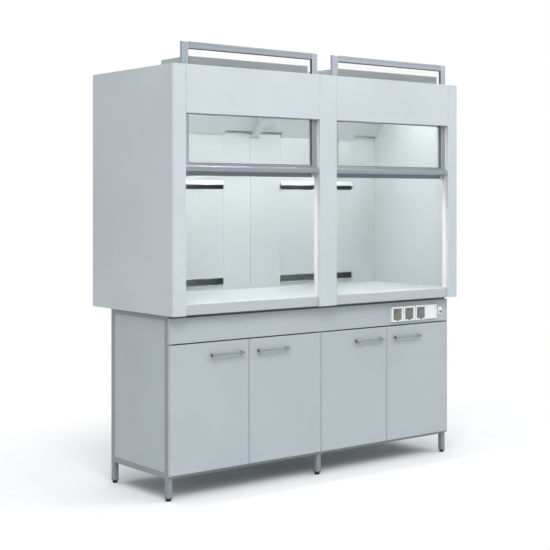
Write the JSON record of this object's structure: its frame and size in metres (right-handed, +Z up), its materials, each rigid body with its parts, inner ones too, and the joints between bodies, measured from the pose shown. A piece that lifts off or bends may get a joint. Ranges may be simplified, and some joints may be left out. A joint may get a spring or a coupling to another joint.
{
  "type": "fume hood",
  "caption": "Laboratory fume hood: glazed counterweighted sashes before a baffled work chamber, on a tube stand with hinged cupboard doors, covered sockets and roof exhaust collars.",
  "frame": {"origin": "on the floor under the middle of the case", "axes": "+X to the right as seen from the front, +Y to the back, +Z up"},
  "size_m": [1.8, 0.7, 2.05],
  "materials": {
    "case_paint": "light grey powder coat, satin",
    "stand_paint": "mid grey powder coat, satin",
    "door_paint": "light grey powder coat, satin",
    "lamp_paint": "grey powder coat, satin",
    "lining_paint": "white chemical-resistant coating, satin",
    "sash_aluminium": "anodised, satin",
    "clear_glass": "clear toughened glass",
    "lamp_glass": "clear glass",
    "worktop_ceramic": "pale technical ceramic, smooth",
    "white_plastic": "white moulded plastic, smooth",
    "guide_plastic": "off-white low-friction plastic",
    "black_plastic": "black moulded plastic, matt",
    "tinted_plastic": "smoke-tinted clear plastic, glossy",
    "green_plastic": "teal green plastic, smooth",
    "lamp_plastic": "white light strip",
    "handle_steel": "brushed stainless steel",
    "gear_steel": "zinc-plated steel",
    "weight_steel": "dark painted steel bar"
  },
  "bodies": {
    "root": {"baffle_side_panels": "lining_paint", "baffle_skirt": "lining_paint", "base_frame": "stand_paint", "centre_post": "case_paint", "centre_rib": "lining_paint", "control_panel": "door_paint", "cupboard_back": "door_paint", "cupboard_floors": "door_paint", "cupboard_side_panels": "door_paint", "door_pivots": "gear_steel", "exhaust_spigots": "gear_steel", "header_panels": "case_paint", "inner_front_panels": "lining_paint", "lamp_housings": "lamp_paint", "lamp_windows": "lamp_glass", "led_strips": "lamp_plastic", "leg_plugs": "black_plastic", "levelling_feet": "black_plastic", "outlet_cover": "white_plastic", "rear_panel": "case_paint", "roof_panel": "case_paint", "sash_cables_left": "gear_steel", "sash_cables_right": "gear_steel", "sash_guides": "guide_plastic", "shaft_brackets": "gear_steel", "side_liners": "lining_paint", "side_shell_left": "case_paint", "side_shell_right": "case_paint", "sloped_panels": "lining_paint", "slotted_baffles": "lining_paint", "socket_frames": "white_plastic", "socket_inserts": "white_plastic", "switch_housing": "white_plastic", "weight_cable_left": "gear_steel", "weight_cable_right": "gear_steel", "window_frames": "sash_aluminium", "window_glass": "clear_glass", "worktop": "worktop_ceramic"},
    "sash_left": {"sash_frame_left": "sash_aluminium", "sash_glass_left": "clear_glass", "sash_pull_left": "sash_aluminium"},
    "lift_shaft_left": {"lift_shaft_left": "gear_steel"},
    "counterweight_left": {"counterweight_left": "weight_steel"},
    "sash_right": {"sash_frame_right": "sash_aluminium", "sash_glass_right": "clear_glass", "sash_pull_right": "sash_aluminium"},
    "lift_shaft_right": {"lift_shaft_right": "gear_steel"},
    "counterweight_right": {"counterweight_right": "weight_steel"},
    "door_1": {"door_1": "door_paint", "door_handle_1": "handle_steel"},
    "door_2": {"door_2": "door_paint", "door_handle_2": "handle_steel"},
    "door_3": {"door_3": "door_paint", "door_handle_3": "handle_steel"},
    "door_4": {"door_4": "door_paint", "door_handle_4": "handle_steel"},
    "socket_lid_1": {"socket_lid_1": "tinted_plastic"},
    "socket_lid_2": {"socket_lid_2": "tinted_plastic"},
    "socket_lid_3": {"socket_lid_3": "tinted_plastic"},
    "power_button": {"power_button": "green_plastic"}
  },
  "joints": [
    {"name": "sash_left_slide", "type": "slide", "parent": "root", "child": "sash_left", "axis": [0, 0, 1], "range_m": [-0.59, 0], "deforming": ["sash_cables_left"]},
    {"name": "sash_right_slide", "type": "slide", "parent": "root", "child": "sash_right", "axis": [0, 0, 1], "range_m": [-0.59, 0], "deforming": ["sash_cables_right"]},
    {"name": "lift_shaft_left_turn", "type": "hinge", "parent": "root", "child": "lift_shaft_left", "pos_m": [-0.46, -0.297, 1.915], "axis": [1, 0, 0], "range_deg": [0, 1691]},
    {"name": "lift_shaft_right_turn", "type": "hinge", "parent": "root", "child": "lift_shaft_right", "pos_m": [0.46, -0.297, 1.915], "axis": [1, 0, 0], "range_deg": [0, 1691]},
    {"name": "counterweight_left_slide", "type": "slide", "parent": "root", "child": "counterweight_left", "axis": [0, 0, 1], "range_m": [0, 0.59], "deforming": ["weight_cable_left"]},
    {"name": "counterweight_right_slide", "type": "slide", "parent": "root", "child": "counterweight_right", "axis": [0, 0, 1], "range_m": [0, 0.59], "deforming": ["weight_cable_right"]},
    {"name": "door_1_hinge", "type": "hinge", "parent": "root", "child": "door_1", "pos_m": [-0.8745, -0.2895, 0.405], "axis": [0, 0, 1], "range_deg": [-95, 0]},
    {"name": "door_2_hinge", "type": "hinge", "parent": "root", "child": "door_2", "pos_m": [-0.007, -0.2895, 0.405], "axis": [0, 0, 1], "range_deg": [0, 80]},
    {"name": "door_3_hinge", "type": "hinge", "parent": "root", "child": "door_3", "pos_m": [0.007, -0.2895, 0.405], "axis": [0, 0, 1], "range_deg": [-80, 0]},
    {"name": "door_4_hinge", "type": "hinge", "parent": "root", "child": "door_4", "pos_m": [0.8745, -0.2895, 0.405], "axis": [0, 0, 1], "range_deg": [0, 95]},
    {"name": "socket_lid_1_hinge", "type": "hinge", "parent": "root", "child": "socket_lid_1", "pos_m": [0.5024, -0.30675, 0.7803], "axis": [1, 0, 0], "range_deg": [-90, 0]},
    {"name": "socket_lid_2_hinge", "type": "hinge", "parent": "root", "child": "socket_lid_2", "pos_m": [0.5859, -0.30675, 0.7803], "axis": [1, 0, 0], "range_deg": [-90, 0]},
    {"name": "socket_lid_3_hinge", "type": "hinge", "parent": "root", "child": "socket_lid_3", "pos_m": [0.6694, -0.30675, 0.7803], "axis": [1, 0, 0], "range_deg": [-90, 0]},
    {"name": "power_button_press", "type": "slide", "parent": "root", "child": "power_button", "axis": [0, 1, 0], "range_m": [0, 0.003], "stiffness_N_per_m": 300}
  ],
  "couplings": [
    {"joint": "lift_shaft_left_turn", "follows": "sash_left_slide", "rad_per_m": -50},
    {"joint": "lift_shaft_right_turn", "follows": "sash_right_slide", "rad_per_m": -50},
    {"joint": "counterweight_left_slide", "follows": "sash_left_slide", "ratio": -1},
    {"joint": "counterweight_right_slide", "follows": "sash_right_slide", "ratio": -1}
  ]
}
